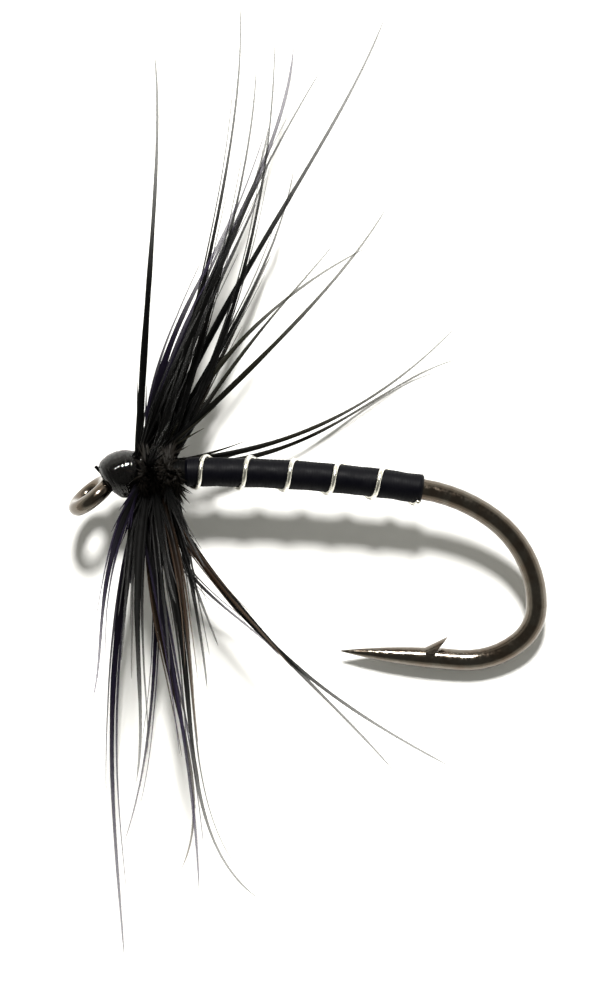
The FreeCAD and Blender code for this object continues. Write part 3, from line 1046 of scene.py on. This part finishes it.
@dataclass
class HackleFibre:
    """One soft fibre: a flattened shaft with thinner strands beside it and short barbules."""

    node: str
    seed: int
    lone: bool = False
    flat: float = 0.55
    barbule_gap: float = 0.045
    barbule_root: float = 0.085
    barbule_tip: float = 0.03
    barbule_width: float = 0.007
    root_bed: float = 0.12
    ripple: float = 0.06

    # half width of the shaft at shares of its length, as a share of the root's radius
    SHARES = (0.0, 0.15, 0.3, 0.45, 0.6, 0.8, 0.95, 1.0)
    WIDTHS = (1.35, 1.3, 1.15, 0.92, 0.7, 0.5, 0.36, 0.1)
    # thinner strands beside the shaft: side, share of its length and share of its width
    SPREAD_SHARES = (0.0, 0.25, 0.7, 1.0)
    SPREADS = (0.9, 1.5, 1.7, 2.6)
    STRANDS = ((1.0, 0.86, 0.5), (-0.95, 0.7, 0.45))
    STRAND_PALE = 0.22
    # short soft strands near the quill: how many, how long, how far they stray and how thick
    DOWN_COUNT = 9
    LONE_DOWN_COUNT = 3
    DOWN_REACH = (0.7, 2.4)
    DOWN_SPREAD = 0.34
    DOWN_WIDTH = 0.055
    SHAFT_SIDES = 10
    STRAND_SIDES = 8
    DOWN_SIDES = 6

    def width(self, share: np.ndarray) -> np.ndarray:
        """Half width as a share of the root's radius: broad at first, then quickly thin.

        Args:
            share: Places along the shaft.

        Returns:
            One value for each place.
        """
        return np.interp(share, self.SHARES, self.WIDTHS)

    def build(self, shank: ShankLine, finish: bpy.types.Material) -> float:
        """Make the fibre.

        Args:
            shank: The axis of the shank.
            finish: Its material.

        Returns:
            The fibre's length in millimetres.
        """
        line, root = FibreLine(self.node).read(shank)
        rng = np.random.default_rng(self.seed)
        share = np.linspace(0.0, 1.0, len(line))
        foot = line[0] - unit(line[1] - line[0]) * self.root_bed
        line = np.concatenate([foot[None, :], line])
        share = np.concatenate([[0.0], share])
        ripple = 1.0 + self.ripple * np.sin(share * rng.uniform(20, 34) + rng.uniform(0, TAU))
        radii = root * self.width(share) * ripple
        ahead = unit(np.gradient(line, axis=0))
        across = np.cross(ahead[0], (0.0, 1.0, 0.0))
        if np.linalg.norm(across) < 0.3:
            across = np.array([1.0, 0.0, 0.0])
        made = MeshBuilder()
        ahead, wide = made.tube(line, radii, self.SHAFT_SIDES, self.flat, Vector(across))
        length = float(np.linalg.norm(np.diff(line, axis=0), axis=1).sum())
        made.shares[-1] = np.repeat(share, self.SHAFT_SIDES)
        for offset, reach, girth in () if self.lone else self.STRANDS:
            kept = share <= reach * rng.uniform(0.88, 1.08)
            part = share[kept] / share[kept][-1]
            spread = offset * root * np.interp(part, self.SPREAD_SHARES, self.SPREADS)
            beside = line[kept] + wide[kept] * spread[:, None]
            half = root * girth * self.width(part)
            made.tube(beside, half, self.STRAND_SIDES, self.flat, Vector(across))
            shade = self.STRAND_PALE + (1.0 - self.STRAND_PALE) * part
            made.shares[-1] = np.repeat(shade, self.STRAND_SIDES)
        self.down(made, rng, line, wide, length)
        self.edge(made, rng, (line, share, radii, ahead, wide), length)
        made.finish(self.node + "_barb", finish, "hackle_fibre", self.node)
        return length

    def down(
        self, made: MeshBuilder, rng: np.random.Generator, line: np.ndarray, wide: np.ndarray, length: float
    ) -> None:
        """Add the short, soft strands that fill the hackle near its quill.

        Args:
            made: The fibre's builder.
            rng: Source of small differences.
            line: Points of the shaft.
            wide: Wide directions of the shaft.
            length: Length of the shaft.
        """
        shaft = np.linspace(0.0, 1.0, len(line))
        part = np.linspace(0.0, 1.0, 9)
        for _ in range(self.LONE_DOWN_COUNT if self.lone else self.DOWN_COUNT):
            at = part * min(rng.uniform(*self.DOWN_REACH) / length, 1.0)
            spot = read_along(at, shaft, line)
            drift = wide[0] * rng.uniform(-1.0, 1.0) + np.array([0.0, rng.uniform(-0.5, 0.5), 0.0])
            spot = spot + np.outer(part**1.2, drift) * self.DOWN_SPREAD
            made.tube(spot, self.DOWN_WIDTH * (1.0 - 0.9 * part**1.5), self.DOWN_SIDES)
            made.shares[-1] = np.repeat(0.1 + 0.5 * part, self.DOWN_SIDES)

    def edge(
        self, made: MeshBuilder, rng: np.random.Generator, shaft: tuple[np.ndarray, ...], length: float
    ) -> None:
        """Add the barbules along both edges of the shaft.

        Args:
            made: The fibre's builder.
            rng: Source of small differences.
            shaft: Points, shares, half widths, directions and wide directions of the shaft.
            length: Length of the shaft.
        """
        line, share, radii, ahead, wide = shaft
        count = int(length / self.barbule_gap)
        for side in (-1.0, 1.0):
            at = np.sort(rng.uniform(0.03, 0.9, count))
            spot = read_along(at, share, line)
            along = unit(read_along(at, share, ahead))
            out = unit(read_along(at, share, wide)) * side
            half = np.interp(at, share, radii)
            reach = self.barbule_root + (self.barbule_tip - self.barbule_root) * at
            reach = reach * rng.uniform(0.6, 1.2, count)
            tilt = rng.uniform(0.35, 0.65, count)[:, None]
            roots = spot + out * half[:, None] * 0.7
            tips = roots + (along * np.cos(tilt) + out * np.sin(tilt)) * reach[:, None]
            half_width = np.full(count, self.barbule_width)
            made.spikes(roots, tips, half_width, np.clip(at + 0.1, 0.0, 1.0))


@dataclass
class Hackle:
    """All fibres of the wound feather."""

    shank: ShankLine
    tints: dict[str, Tint] = field(
        default_factory=lambda: {
            "hackle_top_03": Tint.VIOLET,
            "hackle_top_05": Tint.VIOLET,
            "hackle_top_09": Tint.BROWN,
            "hackle_low_01": Tint.VIOLET,
            "hackle_low_02": Tint.VIOLET,
            "hackle_low_06": Tint.VIOLET,
            "hackle_low_08": Tint.VIOLET,
            "hackle_low_12": Tint.VIOLET,
            "hackle_low_04": Tint.BROWN,
            "hackle_low_07": Tint.BROWN,
            "hackle_low_11": Tint.BROWN,
        }
    )

    # fibres that stand alone, without strands beside them
    LONE = ("hackle_top_01", "hackle_top_07", "hackle_low_09", "hackle_low_10", "hackle_swept")
    FIRST_SEED = 31

    def tint(self, node: str) -> Tint:
        """The shade of one fibre.

        Args:
            node: Name of its CAD node.

        Returns:
            The tint.
        """
        if node.startswith("hackle_swept"):
            return Tint.OLIVE
        return self.tints.get(node, Tint.BLACK)

    def build(self, finishes: dict[Tint, bpy.types.Material]) -> None:
        """Make every fibre.

        Args:
            finishes: The material of each tint.
        """
        nodes = sorted(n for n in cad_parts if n.startswith("hackle_") and n != "hackle_stem")
        for seed, node in enumerate(nodes, start=self.FIRST_SEED):
            tint = self.tint(node)
            fibre = HackleFibre(node, seed, lone=node.startswith(self.LONE))
            length = fibre.build(self.shank, finishes[tint])
            LOG.info("%s: %.1f mm, %s", node, length, tint.value[0])


@dataclass
class Head:
    """The wound thread head that runs from the shank down to the neck of the eye."""

    shank: ShankLine
    droop: float = 38.0
    front_reach: float = 0.64
    crown_share: float = 0.4
    headings: tuple[float, ...] = (0.0, 9.5, 24.7, 38.0)
    profile_places: tuple[float, ...] = (0.0, 0.12, 0.35, 0.65, 0.84, 0.94, 1.0)
    profile_radii: tuple[float, ...] = (0.5, 0.6, 0.68, 0.7, 0.64, 0.56, 0.44)
    rear_overlap: float = 0.2
    varnish: float = 0.006
    wrap_pitch: float = 0.085
    wrap_depth: float = 0.01
    lump: float = 0.008
    sides: int = 64
    rings: int = 150

    def stations(self) -> np.ndarray:
        """Centre and heading of the head's four rings.

        Returns:
            One row a ring: the centre's x and z, and the heading in degrees.
        """
        height = self.shank.height
        turn = math.radians(self.droop)
        elbow = np.array([height / math.tan(turn), height])
        rear = np.array([float(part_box("head_thread")[1][0]) / MM + self.rear_overlap, height])
        front = self.front_reach * np.array([math.cos(turn), math.sin(turn)])
        centres = [
            rear,
            elbow + (rear - elbow) * self.crown_share,
            elbow + (front - elbow) * self.crown_share,
            front,
        ]
        return np.column_stack([np.array(centres), self.headings])

    def barrel(self, coat: float, depth: float) -> MeshBuilder:
        """The head's form.

        Args:
            coat: How far it stands outside the thread.
            depth: Height of the turns that show on it.

        Returns:
            A builder with the form.
        """
        rows = self.stations()
        knots = np.linspace(0.0, 1.0, len(rows))
        t = np.linspace(0.0, 1.0, self.rings)
        x, z, heading = (np.polyval(np.polyfit(knots, column, 3), t) for column in rows.T)
        turn = np.radians(heading)
        points = np.stack([x, np.zeros_like(x), z], axis=1)
        near = np.array([0.0, -1.0, 0.0])
        up = np.stack([-np.sin(turn), np.zeros_like(x), np.cos(turn)], axis=1)
        clock = np.linspace(0.0, TAU, self.sides, endpoint=False)
        length = float(np.linalg.norm(np.diff(points, axis=0), axis=1).sum())
        phase = math.pi * t[:, None] * length / self.wrap_pitch
        wobble = 0.45 * np.sin(3.0 * clock[None, :] + 9.0 * t[:, None])
        turns = np.abs(np.sin(phase + clock[None, :] / 2 + wobble)) - 0.6
        lumps = np.sin(2 * clock[None, :] + 7.0 * t[:, None]) + np.sin(
            clock[None, :] * 3 - 11.0 * t[:, None] + 1.0
        )
        base = np.interp(t, self.profile_places, self.profile_radii)
        base = np.convolve(np.pad(base, 6, mode="edge"), np.ones(13) / 13, mode="valid")
        cover = coat * np.clip(12.0 * np.minimum(t, 1.0 - t) - 0.6, -1.0, 1.0)
        radius = base[:, None] + cover[:, None] + depth * turns + self.lump * lumps
        rings = points[:, None, :] + radius[:, :, None] * (
            np.cos(clock)[None, :, None] * near[None, None, :]
            + np.sin(clock)[None, :, None] * up[:, None, :]
        )
        made = MeshBuilder()
        made.grid(rings, t)
        LOG.info("head: %d turns of thread", round(length / self.wrap_pitch))
        return made

    def build(self, thread: bpy.types.Material, varnish: bpy.types.Material) -> None:
        """Make the thread head and its varnish.

        Args:
            thread: The thread's material.
            varnish: The material of the clear coat.
        """
        self.barrel(0.0, self.wrap_depth).finish("head_wound", thread, "tying_thread", "head_thread")
        coat = self.barrel(self.varnish, self.wrap_depth * 0.35)
        coat.finish("head_coat", varnish, "clear_varnish", "head_varnish")


@dataclass
class ThreadTag:
    """The clipped end of the tying thread."""

    node: str = "thread_tag"
    strands: int = 9
    points: int = 14
    root_reach: float = 0.16
    twist: float = 2.4
    ring_share: float = 0.62
    strand_share: float = 0.36
    seed: int = 3

    def build(self, finish: bpy.types.Material) -> None:
        """Make the clipped end as a few twisted strands with a frayed tip.

        Args:
            finish: The thread's material.
        """
        points = node_points(self.node)
        centre = points.mean(axis=0)
        _, _, axes = np.linalg.svd(points - centre)
        axis = axes[0] if axes[0][2] > 0 else -axes[0]
        reach = (points - centre) @ axis
        radius = float(np.linalg.norm((points - centre) - np.outer(reach, axis), axis=1).max())
        side = unit(np.cross(axis, (0.0, 1.0, 0.0)))
        other = np.cross(axis, side)
        made = MeshBuilder()
        rng = np.random.default_rng(self.seed)
        length = reach.max() - reach.min()
        t = np.linspace(0.0, 1.0, self.points)
        for k in range(self.strands):
            ring = radius * (self.ring_share if k else 0.0)
            turn = TAU * k / (self.strands - 1) + t * self.twist
            spread = ring * (1.0 + 0.5 * t**3 * rng.uniform(0.2, 1.0))
            along = reach.min() - self.root_reach + t * length * rng.uniform(0.85, 1.1)
            line = centre + np.outer(along, axis) + np.outer(np.cos(turn) * spread, side)
            line = line + np.outer(np.sin(turn) * spread, other)
            made.tube(line, np.full(self.points, radius * self.strand_share), 7)
        made.finish("thread_end", finish, "tying_thread", self.node)
        LOG.info("thread end: %d strands", self.strands)


@dataclass
class Stage:
    """Camera, paper and lights."""

    elevation: float = 16.0
    aim_x: float = 6.165
    aim_up: float = -0.15
    lens: float = 200.0
    sensor: float = 36.0
    field_height: float = 30.0
    paper_depth: float = 1.96
    paper_size: float = 400.0
    light_lean: float = 41.0
    sun_power: float = 7.7
    sun_spread: float = 12.0
    room_front: float = 0.16
    room_side: float = 0.95
    backdrop: float = 0.82
    room_edges: tuple[float, float] = (75.0, 50.0)
    sun_colour: Colour = (1.0, 0.985, 0.95)
    room_colour: Colour = (1.0, 0.99, 0.9)
    paper_colour: Colour = (0.88, 0.88, 0.87)

    def axes(self) -> tuple[Vector, Vector]:
        """View direction and picture up."""
        turn = math.radians(self.elevation)
        return Vector((0, math.cos(turn), -math.sin(turn))), Vector((0, math.sin(turn), math.cos(turn)))

    def camera(self) -> None:
        """Make the camera."""
        ahead, up = self.axes()
        data = bpy.data.cameras.new("bench_camera")
        data.lens = self.lens
        data.sensor_width = self.sensor
        data.clip_start = 0.002
        data.clip_end = 10.0
        distance = self.field_height * MM * self.lens / self.sensor
        eye = bpy.data.objects.new("bench_camera", data)
        target = Vector((self.aim_x * MM, 0, 0)) + up * (self.aim_up * MM)
        right = ahead.cross(up)
        turn = Matrix((right, up, -ahead)).transposed().to_4x4()
        eye.matrix_world = Matrix.Translation(target - ahead * distance) @ turn
        bpy.context.scene.collection.objects.link(eye)
        bpy.context.scene.camera = eye

    def paper(self, shank_height: float) -> None:
        """Make the sheet of paper behind the fly."""
        ahead, up = self.axes()
        centre = Vector((self.aim_x, 0, shank_height)) + ahead * self.paper_depth
        half = self.paper_size / 2
        right = ahead.cross(up)
        corners = [
            centre + right * (a * half) + up * (b * half) for a, b in ((-1, -1), (1, -1), (1, 1), (-1, 1))
        ]
        mesh = bpy.data.meshes.new("paper")
        mesh.from_pydata([tuple(c * MM) for c in corners], [], [(0, 1, 2, 3)])
        mesh.materials.append(Paper("white_paper", self.paper_colour, roughness=1.0).build())
        sheet = bpy.data.objects.new("paper", mesh)
        bpy.context.scene.collection.objects.link(sheet)

    def lights(self) -> None:
        """Make the lamp and the pale room."""
        ahead, up = self.axes()
        lean = math.radians(self.light_lean)
        travel = ahead * math.cos(lean) - up * math.sin(lean)
        data = bpy.data.lights.new("bench_lamp", "SUN")
        data.energy = self.sun_power
        data.angle = math.radians(self.sun_spread)
        data.color = self.sun_colour
        lamp = bpy.data.objects.new("bench_lamp", data)
        lamp.rotation_euler = travel.to_track_quat("-Z", "Y").to_euler()
        bpy.context.scene.collection.objects.link(lamp)
        world = bpy.data.worlds.new("pale_room")
        world.use_nodes = True
        paint = NodePainter(world.node_tree)
        glow = next(n for n in world.node_tree.nodes if n.type == "BACKGROUND")
        glow.inputs["Color"].default_value = (*self.room_colour, 1.0)
        facing = paint.node("VectorMath", operation="DOT_PRODUCT")
        facing.inputs[1].default_value = -ahead
        paint.join(paint.node("TexCoord").outputs["Generated"], facing.inputs[0])
        edges = [math.cos(math.radians(edge)) for edge in self.room_edges]
        room = paint.between(facing.outputs["Value"], *edges, self.room_side, self.room_front)
        seen = paint.node("LightPath").outputs["Is Camera Ray"]
        shade = paint.node("Mix", data_type="FLOAT")
        paint.join(seen, shade.inputs[0])
        paint.join(room, shade.inputs[2])
        shade.inputs[3].default_value = self.backdrop
        paint.join(shade.outputs[0], glow.inputs["Strength"])
        bpy.context.scene.world = world

    def build(self, shank_height: float) -> None:
        """Set the whole stage."""
        self.camera()
        self.paper(shank_height)
        self.lights()
        bpy.context.scene.view_settings.view_transform = "Standard"
        LOG.info("stage: paper %.2f mm behind the shank", self.paper_depth)


def dress_body(shank: ShankLine, thread: bpy.types.Material) -> None:
    """Make the thread base, the floss and the rib.

    Args:
        shank: The axis of the shank.
        thread: Material of the tying thread.
    """
    floss = WoundSilk(
        "floss_silk",
        (0.0008, 0.0008, 0.002),
        roughness=0.5,
        strands=30.0,
        waver=3.0,
        depth=0.004,
        shine=0.07,
        sheen=0.008,
        sheen_tint=(0.75, 0.75, 0.7),
    ).build()
    silver = SilverWire("silver_wire", (0.86, 0.84, 0.76), roughness=0.25, metallic=1.0).build()
    ThreadBase(shank).build(thread)
    rib = WoundWire(shank, "rib_wire", "silver_wire", Winding(pitch=1.332, lean=0.175), bar=0.076)
    BodyFloss(shank, rib.winding).build(floss)
    rib.finish(rib.build(), silver)


def dress_hackle(shank: ShankLine) -> None:
    """Make the wound quill, its web and the fibres.

    Args:
        shank: The axis of the shank.
    """
    fibres = {}
    for tint in Tint:
        name, middle, tip = tint.value
        keratin = FeatherKeratin("hackle_" + name, (0.001, 0.001, 0.001), 0.45, middle=middle, tip=tip)
        fibres[tint] = keratin.build()
    bare = FeatherKeratin("feather_quill", (0.006, 0.005, 0.004), 0.4, thin_from=1.5, tip_cover=1.0)
    turning = Winding(pitch=0.33)
    quill = WoundWire(shank, "hackle_stem", "feather_quill", turning, bar=0.09, flat=0.8, sides=12)
    turns = quill.build()
    HackleWeb(quill).grow(turns)
    quill.finish(turns, bare.build())
    Hackle(shank).build(fibres)


def main() -> None:
    """Build the fly and its stage."""
    logging.basicConfig(level=logging.INFO, format="%(message)s")
    shank = ShankLine.from_frame()
    LOG.info("shank: height %.3f, arc from %.2f mm", shank.height, shank.arc_start)
    Hook().dress()
    black = (0.001, 0.001, 0.001)
    thread = WoundSilk("tying_thread", black, roughness=0.55, strands=26.0, shine=0.04).build()
    dress_body(shank, thread)
    dress_hackle(shank)
    head_thread = WoundSilk("head_thread_silk", black, roughness=0.6, strands=22.0, shine=0.03)
    varnish = ClearVarnish("clear_varnish", (1.0, 1.0, 1.0), roughness=0.04)
    Head(shank).build(head_thread.build(), varnish.build())
    ThreadTag().build(thread)
    Stage().build(shank.height)


if __name__ == "__main__":
    main()
